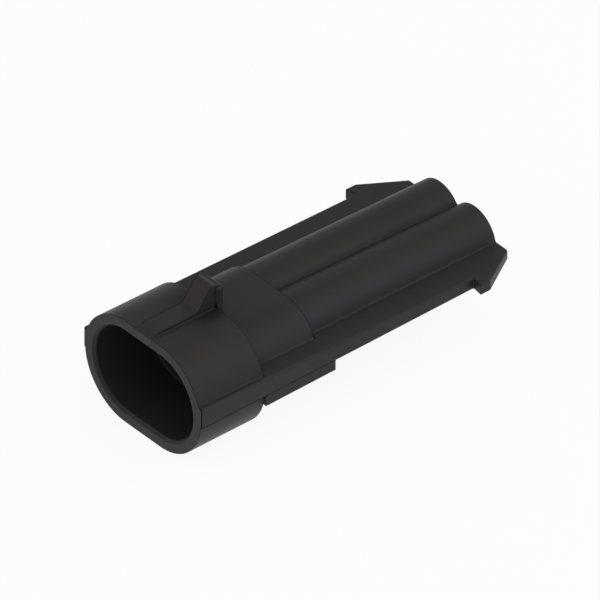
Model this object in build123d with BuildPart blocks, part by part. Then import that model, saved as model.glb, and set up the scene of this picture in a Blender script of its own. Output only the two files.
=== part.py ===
from build123d import *
from math import radians, tan
import os

# Housing of a sealed two-way cable connector, one plastic moulding.
# X runs across the two cavities, +Y from the mating mouth to the cable end, +Z up to the lock.
# The origin lies in the plane of the mouth rim, midway between the axes of the two cavities.
# All lengths are in millimetres and all drafts in degrees.

# Overall
length = 50.0
cavity_pitch = 6.6
step_round = 0.1

# Shroud: the wide flat tube round the mouth, set lower than the cavity axes
shroud_length = 10.35
shroud_radius = 7.6
shroud_height = -1.02
shroud_draft = 0.4

# Mouth: the hollow of the shroud that takes the other connector
mouth_radius = 6.3
mouth_lead_in = 0.35
mouth_lead_in_depth = 0.4
mouth_depth = 8.98
mouth_floor_round = 0.35

# Middle: the smaller flat tube behind the shroud, with the narrow socket inside
middle_end = 20.2
middle_radius = 5.5
middle_height = -0.98
middle_draft = 0.3
middle_wall = 1.4
socket_end = 18.0

# Rear tubes, one for each cable
tube_radius = 3.93
tube_draft = 0.83
valley_round = 0.3
seal_bore_radius = 2.85
seal_bore_length = 20.0
seal_lead_in = 0.35
passage_radius = 1.95

# Side rails
rail_reach = 11.2
rail_front_top = 1.375
rail_rear_top = 0.74
rail_front_bottom = -1.725
rail_rear_bottom = -0.72
rail_round = 0.25
fold_round = 0.28

# Snap barbs at the rear ends of the rails
barb_step = 1.6
barb_root = 43.1
barb_root_round = 0.15
barb_lean = 0.2
barb_flat_end = 44.46
barb_rear_reach = 9.4
barb_round = 0.08

# Skirts: thicker flanges below the rails, beside the middle
skirt_end = 21.4
skirt_root = 6.0
skirt_reach = 11.0
skirt_front_bottom = -3.07
skirt_rear_bottom = -2.8

# Key rib on top of the shroud
key_half_width = 1.49
key_top = 6.97
key_start = 0.25
key_full = 2.7
key_base_round = 0.25

# Lock ramp at the rear end of the key rib, its stations measured forward from the shroud's rear end
ramp_length = 2.95
ramp_foot_round = 0.8
ramp_bend_back = 1.85
ramp_bend_height = 8.3
ramp_shoulder_back = 0.79
ramp_shoulder_height = 10.03
ramp_crest_round = 0.75
saddle_behind = 0.4
saddle_round = 0.8

# Block behind the shroud that the latch of the other connector catches on
block_length = 1.0
block_top = 9.53
block_half_width = 1.855
block_round = 0.3


def section(y, height=0.0, side=0.0):
    """A plane across the housing at y behind the rim, centred at a height and a side distance."""
    return Plane(origin=(side, y, height), x_dir=(-1, 0, 0), z_dir=(0, 1, 0))


def growth(draft, distance):
    """How far a wall moves sideways over a distance at a draft."""
    return distance * tan(radians(draft))


cavity_side = cavity_pitch / 2
shroud_top = shroud_height + shroud_radius
key_foot = key_half_width + key_base_round
ramp_start = (shroud_length - ramp_length, key_top)
ramp_bend = (shroud_length - ramp_bend_back, ramp_bend_height)
ramp_shoulder = (shroud_length - ramp_shoulder_back, ramp_shoulder_height)
saddle = (shroud_length + saddle_behind, block_top)
block_rear = shroud_length + block_length
block_corner = (block_rear, block_top)
barb_reach = rail_reach + barb_step
shroud_rear_radius = shroud_radius - growth(shroud_draft, shroud_length)
middle_front_radius = middle_radius + growth(middle_draft, middle_end - shroud_length)
tube_front_radius = tube_radius + growth(tube_draft, length - middle_end)
tube_length = length - middle_end
bore_radius = mouth_radius - mouth_lead_in
socket_radius = middle_radius - middle_wall
lock_root = middle_height + middle_radius - middle_wall / 2

# Rails with their barbs: the outline seen from above, cut to the drafted side profile
with BuildPart() as rails:
    with BuildSketch(Plane.XY.offset(-shroud_radius)) as outline:
        with BuildLine():
            Polyline(
                (0, 0),
                (rail_reach, 0),
                (rail_reach, barb_root),
                (barb_reach, barb_root - barb_lean),
                (barb_reach, barb_flat_end),
                (barb_rear_reach, length),
                (0, length),
                close=True,
            )
        make_face()
        fillet(outline.vertices().sort_by_distance((rail_reach, 0))[0], rail_round)
        fillet(outline.vertices().sort_by_distance((rail_reach, barb_root))[0], barb_root_round)
        fillet(outline.vertices().group_by(Axis.X)[-1], barb_round)
        mirror(about=Plane.YZ)
    extrude(amount=2 * shroud_radius)
    with BuildSketch(Plane.YZ):
        with BuildLine():
            Polyline(
                (0, rail_front_top),
                (length, rail_rear_top),
                (length, rail_rear_bottom),
                (0, rail_front_bottom),
                close=True,
            )
        make_face()
    extrude(amount=barb_reach, both=True, mode=Mode.INTERSECT)
    rims = rails.faces().sort_by(Axis.Z)[0].edges() + rails.faces().sort_by(Axis.Z)[-1].edges()
    rims = rims.filter_by(lambda edge: abs(edge.center().X) > cavity_side)
    fillet(rims.filter_by(lambda edge: edge.center().Y < barb_root - barb_step), rail_round)

# Key rib and lock ramp: one side profile, cut to a cross-section with a flared foot
with BuildPart() as lock:
    with BuildSketch(Plane.YZ) as profile:
        with BuildLine():
            Line((key_full, key_top), ramp_start)
            ThreePointArc(ramp_start, ramp_bend, ramp_shoulder)
            Polyline(
                ramp_shoulder,
                saddle,
                block_corner,
                (block_rear, lock_root),
                (key_start, lock_root),
                (key_start, shroud_top),
            )
            TangentArc((key_full, key_top), (key_start, shroud_top), tangent=(-1, 0))
        make_face()
        fillet(profile.vertices().sort_by_distance(ramp_start)[0], ramp_foot_round)
        fillet(profile.vertices().sort_by_distance(ramp_shoulder)[0], ramp_crest_round)
        fillet(profile.vertices().sort_by_distance(saddle)[0], saddle_round)
        fillet(profile.vertices().sort_by_distance(block_corner)[0], block_round)
    extrude(amount=key_foot, both=True)
    for distance in (0, block_rear):
        with BuildSketch(section(distance, shroud_top - growth(shroud_draft, distance))):
            with BuildLine():
                Polyline(
                    (key_half_width, key_base_round),
                    (key_half_width, shroud_radius),
                    (-key_half_width, shroud_radius),
                    (-key_half_width, key_base_round),
                )
                RadiusArc((-key_half_width, key_base_round), (-key_foot, 0), key_base_round)
                Polyline((-key_foot, 0), (-key_foot, -shroud_radius), (key_foot, -shroud_radius), (key_foot, 0))
                RadiusArc((key_foot, 0), (key_half_width, key_base_round), key_base_round)
            make_face()
    loft(ruled=True, mode=Mode.INTERSECT)

# Rear block of the lock, a little wider than the ramp
with BuildPart() as block:
    with BuildSketch(Plane.YZ):
        with BuildLine():
            Polyline(
                (shroud_length, lock_root),
                (shroud_length, block_top),
                block_corner,
                (block_rear, lock_root),
                close=True,
            )
        make_face()
    extrude(amount=block_half_width, both=True)
    corners = block.edges().filter_by(Axis.Z).group_by(Axis.Y)[-1]
    top_edges = block.edges().group_by(Axis.Z)[-1].filter_by(lambda edge: edge.center().Y > shroud_length)
    fillet(corners + top_edges, block_round)

with BuildPart() as housing:
    # Shroud and middle
    with BuildSketch(section(0, shroud_height)):
        SlotCenterToCenter(cavity_pitch, 2 * shroud_radius)
    with BuildSketch(section(shroud_length, shroud_height)):
        SlotCenterToCenter(cavity_pitch, 2 * shroud_rear_radius)
    loft(ruled=True)
    fillet(housing.faces().sort_by(Axis.Y)[-1].edges(), step_round)
    with BuildSketch(section(shroud_length, middle_height)):
        SlotCenterToCenter(cavity_pitch, 2 * middle_front_radius)
    with BuildSketch(section(middle_end, middle_height)):
        SlotCenterToCenter(cavity_pitch, 2 * middle_radius)
    loft(ruled=True)
    fillet(housing.faces().sort_by(Axis.Y)[-1].edges(), step_round)

    # Rear tubes, with the valleys between them rounded
    with BuildSketch(section(middle_end, side=cavity_side)):
        Circle(tube_front_radius)
    with BuildSketch(section(length, side=cavity_side)):
        Circle(tube_radius)
    loft(ruled=True)
    with BuildSketch(section(middle_end, side=-cavity_side)):
        Circle(tube_front_radius)
    with BuildSketch(section(length, side=-cavity_side)):
        Circle(tube_radius)
    loft(ruled=True)
    valleys = housing.edges().filter_by(lambda edge: abs(edge.center().X) < valley_round)
    fillet(valleys.filter_by(lambda edge: edge.bounding_box().size.Y > tube_length / 2), valley_round)

    # Rails, with the folds to the body rounded
    add(rails.part)
    folds = housing.edges(Select.NEW).filter_by(lambda edge: edge.bounding_box().size.Y > fold_round)
    fillet(folds.filter_by(lambda edge: edge.center().Z > 0 or edge.center().Y > middle_end), fold_round)

    # Skirts
    for side in (1, -1):
        with BuildSketch(Plane.YZ.offset(side * skirt_root)):
            with BuildLine():
                Polyline(
                    (shroud_length, 0),
                    (skirt_end, 0),
                    (skirt_end, skirt_rear_bottom),
                    (shroud_length, skirt_front_bottom),
                    close=True,
                )
            make_face()
        extrude(amount=side * (skirt_reach - skirt_root))

    # Lock
    add(lock.part)
    add(block.part)

    # Mouth, with a lead-in at the rim
    with BuildSketch(section(0, shroud_height)):
        SlotCenterToCenter(cavity_pitch, 2 * mouth_radius)
    with BuildSketch(section(mouth_lead_in_depth, shroud_height)):
        SlotCenterToCenter(cavity_pitch, 2 * bore_radius)
    loft(ruled=True, mode=Mode.SUBTRACT)
    with BuildSketch(section(mouth_lead_in_depth, shroud_height)):
        SlotCenterToCenter(cavity_pitch, 2 * bore_radius)
    extrude(amount=mouth_depth - mouth_lead_in_depth, mode=Mode.SUBTRACT)
    fillet(housing.faces(Select.LAST).sort_by(Axis.Y)[-1].edges(), mouth_floor_round)

    # Narrow socket and the two terminal passages
    with BuildSketch(section(mouth_depth, middle_height)):
        SlotCenterToCenter(cavity_pitch, 2 * socket_radius)
    extrude(amount=socket_end - mouth_depth, mode=Mode.SUBTRACT)
    with BuildSketch(section(socket_end)):
        with GridLocations(cavity_pitch, 0, 2, 1):
            Circle(passage_radius)
    extrude(amount=length - socket_end, mode=Mode.SUBTRACT)

    # Seal bores from the cable end, each with a lead-in
    with BuildSketch(section(length - seal_bore_length)):
        with GridLocations(cavity_pitch, 0, 2, 1):
            Circle(seal_bore_radius)
    extrude(amount=seal_bore_length, mode=Mode.SUBTRACT)
    bore_rims = housing.faces().sort_by(Axis.Y)[-1].edges().filter_by(GeomType.CIRCLE)
    chamfer(bore_rims.filter_by(lambda edge: edge.radius < tube_radius - seal_lead_in), seal_lead_in)

housing.part.label = "housing"
os.makedirs("parts", exist_ok=True)
export_step(housing.part, "parts/housing.step")
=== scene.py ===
import math
from types import SimpleNamespace

import bpy
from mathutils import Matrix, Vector


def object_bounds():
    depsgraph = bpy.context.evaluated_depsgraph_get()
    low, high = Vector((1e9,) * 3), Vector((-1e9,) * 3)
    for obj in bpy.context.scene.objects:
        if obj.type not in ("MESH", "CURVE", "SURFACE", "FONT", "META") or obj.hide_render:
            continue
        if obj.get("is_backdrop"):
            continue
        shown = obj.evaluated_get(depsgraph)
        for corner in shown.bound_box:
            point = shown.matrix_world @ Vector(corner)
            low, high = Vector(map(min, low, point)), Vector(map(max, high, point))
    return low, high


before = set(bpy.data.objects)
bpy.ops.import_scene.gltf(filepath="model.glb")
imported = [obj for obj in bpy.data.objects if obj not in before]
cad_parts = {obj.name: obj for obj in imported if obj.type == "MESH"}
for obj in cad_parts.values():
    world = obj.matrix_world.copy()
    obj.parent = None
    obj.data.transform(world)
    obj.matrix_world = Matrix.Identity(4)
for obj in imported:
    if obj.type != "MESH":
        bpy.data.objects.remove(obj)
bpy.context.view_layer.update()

# All lengths are in metres, in the frame of the part: X across the two cavities, +Y from the
# mouth to the cable end, +Z up to the lock.
MM = 0.001

# Camera, matched to the photo
AZIMUTH = math.radians(50.0)
ELEVATION = math.radians(36.574)
PIXELS_PER_MM = 8.226
FRAME_PIXELS = 600
CENTRE_RIGHT = 19.126 * MM
CENTRE_UP = 9.398 * MM
CAMERA_DISTANCE = 0.4
NEAREST = 0.01
FARTHEST = 10.0

# Surround, brighter towards +X
WHITE = (1.0, 1.0, 1.0, 1.0)
SKY_STRENGTH = 0.68
SKY_TILT = 0.16

# Lamps, placed from the middle of the housing
HOUSING_MIDDLE = Vector((0.0, 25.0 * MM, 0.0))
SIDE_WATTS = 0.285
SIDE_SIZE = 0.24
SIDE_PLACE = Vector((0.218, 0.183, 0.21))
SIDE_COLOUR = (0.69, 0.78, 1.0)
TOP_WATTS = 0.095
TOP_SIZE = 0.16
TOP_PLACE = Vector((0.073, 0.18, 0.29))
TOP_COLOUR = (1.0, 0.74, 0.4)
FRONT_WATTS = 0.1
FRONT_SIZE = 0.18
FRONT_PLACE = Vector((-0.18, -0.19, 0.12))
FRONT_COLOUR = (1.0, 0.83, 0.6)

# Floor
FLOOR_HALF = 3.0
FLOOR_COLOUR = (0.86, 0.86, 0.86, 1.0)
FLOOR_GLOW = 0.92

# Plastic
PLASTIC_COLOUR = (0.0218, 0.0215, 0.0212, 1.0)
WORN_AND_HIGHLIT_COLOUR = (0.029, 0.029, 0.0295, 1.0)
PLASTIC_ROUGHNESS = 0.475
PLASTIC_SPECULAR = 0.18
PLASTIC_IOR = 1.5

# Noises of the plastic, each with its scale and detail
WEAR_AND_HIGHLIGHT_NOISE = (260.0, 3.0)
CLOUD_NOISE = (120.0, 4.0)
CLOUD_LOW = 0.3
CLOUD_HIGH = 0.7
ROUGHNESS_SPREAD = 0.03
GRAIN_NOISE = (5200.0, 2.0)
GRAIN_STRENGTH = 0.25
GRAIN_HEIGHT = 0.012 * MM

# Edges: how far the normal is averaged, and the turn of it that counts as an edge
EDGE_SAMPLES = 6
EDGE_START = 0.995
EDGE_FULL = 0.85
LINE_WIDTH = 0.1 * MM
LOCK_SOFTNESS = 0.2 * MM
RIM_SOFTNESS = 0.15 * MM

# Crevices, painted shade: the open share of the sky from which a surface's colour darkens, and
# by how much
CREVICE_SAMPLES = 12
CREVICE_REACH = 0.7 * MM
CREVICE_SHUT = 0.5
CREVICE_OPEN = 0.78
CREVICE_SHADE = 0.45

# Places on the housing, as in the CAD model
CAVITY_SIDE = 3.3 * MM
OVAL_HEIGHT = -1.0 * MM
SHROUD_END = 10.35 * MM
SHROUD_RADIUS = 7.53 * MM
MIDDLE_END = 20.2 * MM
MIDDLE_RADIUS = 5.5 * MM
SKIRT_END = 21.4 * MM
RIM_REACH = 0.5 * MM
RIM_MIDDLE = 6.95 * MM
KEY_SIDE = 1.49 * MM
KEY_FOOT = 6.8 * MM
KEY_TOP = 6.9 * MM
RAMP_START = 7.4 * MM
LOCK_GROUND = 5.6 * MM
LOCK_FOOT = 7.2 * MM
LOCK_HALF_WIDTH = 1.9 * MM
FLANK = 10.0 * MM
RAIL_SIDE = 11.02 * MM
RAIL_BOTTOM = -1.725 * MM
RAIL_BOTTOM_SLOPE = 0.0201

# Directions that a face points in, as parts of its normal
UPWARD = 0.4
FORWARD = -0.95
SIDEWAYS = 0.7

# Widths of the painted dark shade lines along edges, besides LINE_WIDTH
KEY_LINE_WIDTH = 0.07 * MM
RIM_LINE_WIDTH = 0.06 * MM
RAIL_LINE_WIDTH = 0.24 * MM

# Painted light and shade: shares of the plastic's colour, and how far each reaches
STEP_PAINTED_LIGHT = 1.2
LOCK_SIDE_PAINTED_SHADE = -0.25
VALLEY_SHADE = 0.55
VALLEY_REACH = 0.7 * MM
RAMP_SHADE = 0.5
RAMP_REACH = 2.4 * MM
RIB_SHADE = 0.55
RIB_REACH = 0.5 * MM


def node(tree, kind, **settings):
    """A new node with its settings."""
    new = tree.nodes.new(kind)
    for name, value in settings.items():
        setattr(new, name, value)
    return new


def give(tree, target, value):
    """Link an input to another node's output, or set it to a number or a colour."""
    if isinstance(value, bpy.types.NodeSocket):
        tree.links.new(value, target)
    else:
        target.default_value = value


def maths(tree, operation, *values):
    """The output of a math node with these inputs."""
    new = node(tree, "ShaderNodeMath", operation=operation)
    for target, value in zip(new.inputs, values):
        give(tree, target, value)
    return new.outputs["Value"]


def above(tree, value, limit):
    """1 where a value is over a limit, else 0."""
    return maths(tree, "GREATER_THAN", value, limit)


def below(tree, value, limit):
    """1 where a value is under a limit, else 0."""
    return maths(tree, "LESS_THAN", value, limit)


def near(tree, value, target, tolerance):
    """1 where a value lies within a tolerance of a target, else 0."""
    return maths(tree, "COMPARE", value, target, tolerance)


def product(tree, *values):
    """All values multiplied. Of masks, it is 1 where every one is 1."""
    result = values[0]
    for value in values[1:]:
        result = maths(tree, "MULTIPLY", result, value)
    return result


def largest(tree, *values):
    """The largest value. Of masks, it is 1 where any one is 1."""
    result = values[0]
    for value in values[1:]:
        result = maths(tree, "MAXIMUM", result, value)
    return result


def length(tree, first, second):
    """The length of the long side of a right triangle with these short sides."""
    squares = [maths(tree, "POWER", value, 2.0) for value in (first, second)]
    return maths(tree, "SQRT", maths(tree, "ADD", *squares))


def ranged(tree, value, start, end, low=0.0, high=1.0):
    """A number that goes from low to high while a value goes from start to end."""
    new = node(tree, "ShaderNodeMapRange")
    give(tree, new.inputs["Value"], value)
    give(tree, new.inputs["From Min"], start)
    give(tree, new.inputs["From Max"], end)
    give(tree, new.inputs["To Min"], low)
    give(tree, new.inputs["To Max"], high)
    return new.outputs["Result"]


def noise(tree, point, scale, detail):
    """Noise that is fixed to the housing."""
    new = node(tree, "ShaderNodeTexNoise")
    give(tree, new.inputs["Scale"], scale)
    give(tree, new.inputs["Detail"], detail)
    give(tree, new.inputs["Vector"], point)
    return new.outputs["Fac"]


def split(tree, vector):
    """The X, Y and Z of a vector."""
    new = node(tree, "ShaderNodeSeparateXYZ")
    give(tree, new.inputs["Vector"], vector)
    return new.outputs


def find_place(tree):
    """Where a point of the surface lies on the housing, and which way it faces."""
    at = SimpleNamespace()
    at.point = node(tree, "ShaderNodeTexCoord").outputs["Object"]
    at.normal = node(tree, "ShaderNodeNewGeometry").outputs["Normal"]
    parts = split(tree, at.point)
    at.side = maths(tree, "ABSOLUTE", parts["X"])
    at.y = parts["Y"]
    at.z = parts["Z"]
    facing = split(tree, at.normal)
    at.upward = above(tree, facing["Z"], UPWARD)
    at.forward = below(tree, facing["Y"], FORWARD)
    at.sideways = above(tree, maths(tree, "ABSOLUTE", facing["X"]), SIDEWAYS)

    # How far out from the middle line of the oval shroud
    across = maths(tree, "MAXIMUM", maths(tree, "SUBTRACT", at.side, CAVITY_SIDE), 0.0)
    at.out = length(tree, across, maths(tree, "SUBTRACT", at.z, OVAL_HEIGHT))

    high = above(tree, at.z, LOCK_FOOT)
    at.on_lock = product(tree, high, below(tree, at.side, LOCK_HALF_WIDTH))
    return at


def soft_normal(tree, at):
    """The normal over a small radius, which is larger on the lock and inside the rim."""
    new = node(tree, "ShaderNodeBevel", samples=EDGE_SAMPLES)
    on_rim = product(tree, below(tree, at.y, RIM_REACH), below(tree, at.out, RIM_MIDDLE))
    extra = maths(
        tree,
        "ADD",
        product(tree, at.on_lock, LOCK_SOFTNESS),
        product(tree, on_rim, RIM_SOFTNESS),
    )
    give(tree, new.inputs["Radius"], maths(tree, "ADD", extra, LINE_WIDTH))
    return new.outputs["Normal"]


def worn_and_highlit_edge_colour(tree, at, soft):
    """The plastic's colour, a little lighter on patches of its edges, as wear and as a painted
    edge highlight.
    """
    turn = node(tree, "ShaderNodeVectorMath", operation="DOT_PRODUCT")
    give(tree, turn.inputs[0], soft)
    give(tree, turn.inputs[1], at.normal)
    edge = ranged(tree, turn.outputs["Value"], EDGE_START, EDGE_FULL)
    colour = node(tree, "ShaderNodeMix", data_type="RGBA")
    give(tree, colour.inputs["Factor"], product(tree, edge, noise(tree, at.point, *WEAR_AND_HIGHLIGHT_NOISE)))
    give(tree, colour.inputs["A"], PLASTIC_COLOUR)
    give(tree, colour.inputs["B"], WORN_AND_HIGHLIT_COLOUR)
    return colour.outputs["Result"]


def painted_shade_ring(tree, at, end, radius):
    """A painted dark shade line round the rear edge of an oval tube, above the lower edges of
    the rails.
    """
    at_end = near(tree, at.y, end, LINE_WIDTH)
    at_skin = near(tree, at.out, radius, 2 * LINE_WIDTH)
    return product(tree, at_end, at_skin, above(tree, at.z, RAIL_BOTTOM))


def painted_shade_lines(tree, at):
    """1 on the painted dark shade lines along the edges, else 0."""
    shroud = product(
        tree,
        painted_shade_ring(tree, at, SHROUD_END, SHROUD_RADIUS),
        above(tree, at.side, LOCK_HALF_WIDTH),
    )
    middle = painted_shade_ring(tree, at, MIDDLE_END, MIDDLE_RADIUS)
    key = product(
        tree,
        near(tree, at.side, KEY_SIDE, KEY_LINE_WIDTH),
        above(tree, at.z, KEY_FOOT),
        at.upward,
    )
    rail_edge = maths(tree, "ADD", product(tree, at.y, RAIL_BOTTOM_SLOPE), RAIL_BOTTOM)
    rail = product(
        tree,
        near(tree, maths(tree, "SUBTRACT", at.z, rail_edge), 0.0, RAIL_LINE_WIDTH),
        above(tree, at.side, RAIL_SIDE),
        below(tree, at.y, SKIRT_END),
    )
    rim = product(
        tree,
        below(tree, at.y, RIM_LINE_WIDTH),
        above(tree, at.out, RIM_MIDDLE),
        maths(tree, "SUBTRACT", 1.0, at.forward),
    )
    return largest(tree, shroud, middle, key, rail, rim)


def crevice_shade(tree, at):
    """Painted shade in folds and inner corners, apart from the lock and the rails beside the
    shroud.
    """
    hollow = node(
        tree,
        "ShaderNodeAmbientOcclusion",
        samples=CREVICE_SAMPLES,
        only_local=True,
    )
    hollow.inputs["Distance"].default_value = CREVICE_REACH
    beside_shroud = product(
        tree,
        above(tree, at.side, FLANK),
        below(tree, at.y, SHROUD_END + LINE_WIDTH),
    )
    open_share = largest(tree, hollow.outputs["AO"], at.on_lock, beside_shroud)
    return ranged(tree, open_share, CREVICE_SHUT, CREVICE_OPEN, CREVICE_SHADE, 1.0)


def step_light_and_shade(tree, at):
    """Painted light on the narrow front faces at the shroud's rear end, and painted shade on the
    sides of the lock.
    """
    at_end = near(tree, at.y, SHROUD_END, LINE_WIDTH)
    lift = product(tree, at_end, at.forward, STEP_PAINTED_LIGHT)
    drop = product(tree, at.on_lock, at.sideways, LOCK_SIDE_PAINTED_SHADE)
    return maths(tree, "ADD", maths(tree, "ADD", lift, drop), 1.0)


def valley_shade(tree, at):
    """Painted shade in the valley between the two rear tubes."""
    valley = ranged(tree, at.side, 0.0, VALLEY_REACH, VALLEY_SHADE, 1.0)
    return largest(tree, valley, below(tree, at.y, MIDDLE_END))


def lock_shade(tree, at):
    """A darker shroud beside the key rib and the ramp, which keep light from it."""
    beside = maths(tree, "MAXIMUM", maths(tree, "SUBTRACT", at.side, KEY_SIDE), 0.0)
    ahead = maths(tree, "MAXIMUM", maths(tree, "SUBTRACT", RAMP_START, at.y), 0.0)
    by_ramp = ranged(tree, length(tree, beside, ahead), 0.0, RAMP_REACH, RAMP_SHADE, 1.0)
    by_rib = ranged(tree, beside, 0.0, RIB_REACH, RIB_SHADE, 1.0)
    elsewhere = largest(
        tree,
        below(tree, at.side, KEY_SIDE),
        above(tree, at.z, KEY_TOP),
        below(tree, at.z, LOCK_GROUND),
        above(tree, at.y, SHROUD_END),
    )
    return largest(tree, maths(tree, "MINIMUM", by_ramp, by_rib), elsewhere)


def uneven_roughness(tree, at):
    """Roughness that varies a little, as on a part from a worn tool."""
    return ranged(
        tree,
        noise(tree, at.point, *CLOUD_NOISE),
        CLOUD_LOW,
        CLOUD_HIGH,
        PLASTIC_ROUGHNESS - ROUGHNESS_SPREAD,
        PLASTIC_ROUGHNESS + ROUGHNESS_SPREAD,
    )


def grained_normal(tree, at, soft):
    """The soft normal with a spark-eroded grain."""
    bump = node(tree, "ShaderNodeBump")
    bump.inputs["Strength"].default_value = GRAIN_STRENGTH
    bump.inputs["Distance"].default_value = GRAIN_HEIGHT
    give(tree, bump.inputs["Height"], noise(tree, at.point, *GRAIN_NOISE))
    give(tree, bump.inputs["Normal"], soft)
    return bump.outputs["Normal"]


def plastic():
    """Near-black moulded plastic with a fine grain, soft edges, slightly worn corners with a
    painted highlight, and painted shade in its colour.
    """
    material = bpy.data.materials.new("black_plastic")
    material.use_nodes = True
    tree = material.node_tree
    shader = tree.nodes["Principled BSDF"]
    shader.inputs["Metallic"].default_value = 0.0
    shader.inputs["IOR"].default_value = PLASTIC_IOR
    shader.inputs["Specular IOR Level"].default_value = PLASTIC_SPECULAR

    at = find_place(tree)
    soft = soft_normal(tree, at)
    # Painted dark shade lines along edges, which also make the plastic fully rough there
    line = painted_shade_lines(tree, at)
    # Painted light and shade, which scale the plastic's colour
    level = product(
        tree,
        step_light_and_shade(tree, at),
        valley_shade(tree, at),
        crevice_shade(tree, at),
        lock_shade(tree, at),
        maths(tree, "SUBTRACT", 1.0, line),
    )
    shaded = node(tree, "ShaderNodeVectorMath", operation="SCALE")
    give(tree, shaded.inputs[0], worn_and_highlit_edge_colour(tree, at, soft))
    give(tree, shaded.inputs["Scale"], level)
    give(tree, shader.inputs["Base Color"], shaded.outputs["Vector"])
    give(tree, shader.inputs["Roughness"], largest(tree, uneven_roughness(tree, at), line))
    give(tree, shader.inputs["Normal"], grained_normal(tree, at, soft))
    return material


def floor_paint():
    """Pale paint that the camera and reflections see nearly white, with its shadow kept."""
    material = bpy.data.materials.new("floor_paint")
    material.use_nodes = True
    tree = material.node_tree
    tree.nodes.clear()
    paint = node(tree, "ShaderNodeBsdfDiffuse")
    paint.inputs["Color"].default_value = FLOOR_COLOUR
    glow = node(tree, "ShaderNodeEmission")
    path = node(tree, "ShaderNodeLightPath").outputs
    seen = product(tree, path["Is Camera Ray"], FLOOR_GLOW)
    white = largest(tree, seen, path["Is Glossy Ray"], path["Is Transmission Ray"])
    mix = node(tree, "ShaderNodeMixShader")
    give(tree, mix.inputs["Fac"], white)
    give(tree, mix.inputs[1], paint.outputs["BSDF"])
    give(tree, mix.inputs[2], glow.outputs["Emission"])
    give(tree, node(tree, "ShaderNodeOutputMaterial").inputs["Surface"], mix.outputs["Shader"])
    return material


def floor():
    """A plain floor at the height of the lowest point of the housing."""
    half = FLOOR_HALF
    corners = [(-half, -half, 0), (half, -half, 0), (half, half, 0), (-half, half, 0)]
    mesh = bpy.data.meshes.new("floor")
    mesh.from_pydata(corners, [], [(0, 1, 2, 3)])
    mesh.materials.append(floor_paint())
    obj = bpy.data.objects.new("floor", mesh)
    bpy.context.scene.collection.objects.link(obj)
    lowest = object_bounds()[0]
    obj.location = (0.0, 0.0, lowest[2])
    obj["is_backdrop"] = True


def sky():
    """A white surround, a little brighter on one side, and plain white for the camera."""
    world = bpy.data.worlds.new("surround")
    bpy.context.scene.world = world
    world.use_nodes = True
    tree = world.node_tree
    tree.nodes.clear()
    tilt = node(tree, "ShaderNodeVectorMath", operation="DOT_PRODUCT")
    give(tree, tilt.inputs[0], node(tree, "ShaderNodeTexCoord").outputs["Generated"])
    give(tree, tilt.inputs[1], (SKY_TILT, 0.0, 0.0))
    light = node(tree, "ShaderNodeBackground")
    light.inputs["Color"].default_value = WHITE
    give(tree, light.inputs["Strength"], maths(tree, "ADD", tilt.outputs["Value"], SKY_STRENGTH))
    seen = node(tree, "ShaderNodeBackground")
    seen.inputs["Color"].default_value = WHITE
    mix = node(tree, "ShaderNodeMixShader")
    give(tree, mix.inputs["Fac"], node(tree, "ShaderNodeLightPath").outputs["Is Camera Ray"])
    give(tree, mix.inputs[1], light.outputs["Background"])
    give(tree, mix.inputs[2], seen.outputs["Background"])
    give(tree, node(tree, "ShaderNodeOutputWorld").inputs["Surface"], mix.outputs["Shader"])


def lamp(name, place, size, watts, colour):
    """A square soft lamp that shines on the middle of the housing."""
    data = bpy.data.lights.new(name, "AREA")
    data.shape = "SQUARE"
    data.size = size
    data.energy = watts
    data.color = colour
    obj = bpy.data.objects.new(name, data)
    bpy.context.scene.collection.objects.link(obj)
    obj.location = HOUSING_MIDDLE + place
    obj.rotation_mode = "QUATERNION"
    obj.rotation_quaternion = (-place).to_track_quat("-Z", "Y")


def camera():
    """A parallel view at the angle and scale of the photo."""
    back = Vector((
        math.sin(AZIMUTH) * math.cos(ELEVATION),
        -math.cos(AZIMUTH) * math.cos(ELEVATION),
        math.sin(ELEVATION),
    ))
    right = Vector((math.cos(AZIMUTH), math.sin(AZIMUTH), 0.0))
    up = back.cross(right)
    data = bpy.data.cameras.new("camera")
    data.type = "ORTHO"
    data.ortho_scale = FRAME_PIXELS / PIXELS_PER_MM * MM
    data.clip_start = NEAREST
    data.clip_end = FARTHEST
    obj = bpy.data.objects.new("camera", data)
    bpy.context.scene.collection.objects.link(obj)
    obj.location = right * CENTRE_RIGHT + up * CENTRE_UP + back * CAMERA_DISTANCE
    obj.rotation_mode = "QUATERNION"
    obj.rotation_quaternion = (-back).to_track_quat("-Z", "Y")
    bpy.context.scene.camera = obj


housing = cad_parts["housing"]
black = plastic()
for slot in housing.material_slots:
    slot.material = black

floor()
sky()
lamp("side_softbox", SIDE_PLACE, SIDE_SIZE, SIDE_WATTS, SIDE_COLOUR)
lamp("top_softbox", TOP_PLACE, TOP_SIZE, TOP_WATTS, TOP_COLOUR)
lamp("front_softbox", FRONT_PLACE, FRONT_SIZE, FRONT_WATTS, FRONT_COLOUR)
camera()
bpy.context.scene.view_settings.view_transform = "Standard"
